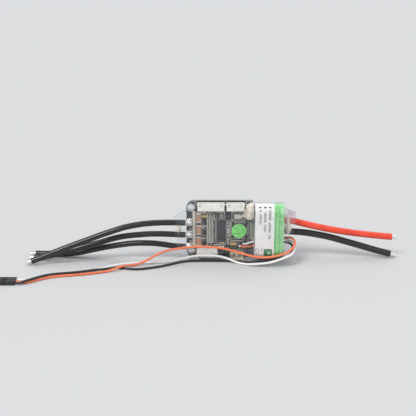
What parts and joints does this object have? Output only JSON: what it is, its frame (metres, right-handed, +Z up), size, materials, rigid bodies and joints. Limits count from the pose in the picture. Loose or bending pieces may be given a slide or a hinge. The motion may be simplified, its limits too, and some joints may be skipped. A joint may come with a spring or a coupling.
{
  "type": "brushless motor speed controller",
  "caption": "Board-level motor speed controller in a clear sleeve, standing on its long edge, with a capacitor bank, battery and motor leads and a three-wire control lead.",
  "frame": {"origin": "bottom centre of the sleeved body, without the leads", "axes": "+Z up, across the board; +X along the board towards the battery leads; the component side faces -Y"},
  "size_m": [0.2637, 0.0568, 0.0416],
  "materials": {
    "board": "black solder mask, semi gloss",
    "track": "tinned copper tracks and print",
    "tin": "tinned copper, satin",
    "solder": "bright solder",
    "shunt": "copper brown resistor coating",
    "chip": "moulded epoxy",
    "sticker": "green paper sticker",
    "header": "off white nylon",
    "usb_metal": "plated steel shell",
    "black_plastic": "black moulded plastic",
    "can_metal": "plated lid",
    "ferrite": "dark ferrite",
    "tantalum": "moulded capacitor body",
    "ceramic": "fired ceramic",
    "resistor": "glazed black film on ceramic",
    "led": "clear lens on white body",
    "can_aluminium": "drawn aluminium can",
    "cap_sleeve": "dark plastic sleeve",
    "bung": "black rubber",
    "label": "printed label, white and green",
    "silicone": "cream silicone",
    "film": "clear shrunk film, glossy",
    "black_insulation": "black silicone insulation",
    "red_insulation": "red silicone insulation",
    "white_wire": "white insulation",
    "orange_wire": "light red insulation",
    "black_wire": "black insulation",
    "contact": "plated contacts"
  },
  "bodies": {
    "root": {"pcb": "board", "board_traces": "track", "solder_pads": "tin", "phase_solder_joints": "solder", "phase_lead_cores": "tin", "shunt_resistors": "shunt", "shunt_terminals": "tin", "gate_driver": "chip", "gate_driver_pins": "tin", "microcontroller": "chip", "microcontroller_pins": "tin", "chip_sticker": "sticker", "comm_header": "header", "comm_header_pins": "tin", "can_header": "header", "can_header_pins": "tin", "sensor_header": "header", "sensor_header_pins": "tin", "usb_shell": "usb_metal", "usb_tongue": "black_plastic", "crystal": "can_metal", "power_inductor": "ferrite", "small_chips": "chip", "small_chip_legs": "tin", "tantalum_capacitors": "tantalum", "ceramic_capacitors": "ceramic", "resistors": "resistor", "chip_end_caps": "tin", "status_leds": "led", "power_transistors": "chip", "transistor_tabs": "tin", "transistor_legs": "tin", "capacitor_cans": "can_aluminium", "capacitor_sleeves": "cap_sleeve", "capacitor_bungs": "bung", "capacitor_leads": "tin", "power_solder_joints": "solder", "battery_lead_cores": "tin", "label": "label", "silicone_left": "silicone", "silicone_right": "silicone", "glue_spot": "silicone", "heat_shrink_sleeve": "film", "phase_lead_a": "black_insulation", "phase_lead_b": "black_insulation", "phase_lead_c": "black_insulation", "phase_tip_a": "solder", "phase_tip_b": "solder", "phase_tip_c": "solder", "battery_lead_positive": "red_insulation", "battery_lead_negative": "black_insulation", "battery_tip_positive": "solder", "battery_tip_negative": "solder", "servo_wire_signal": "white_wire", "servo_wire_power": "orange_wire", "servo_wire_ground": "black_wire", "servo_connector": "black_plastic", "servo_contacts": "contact"}
  },
  "joints": []
}
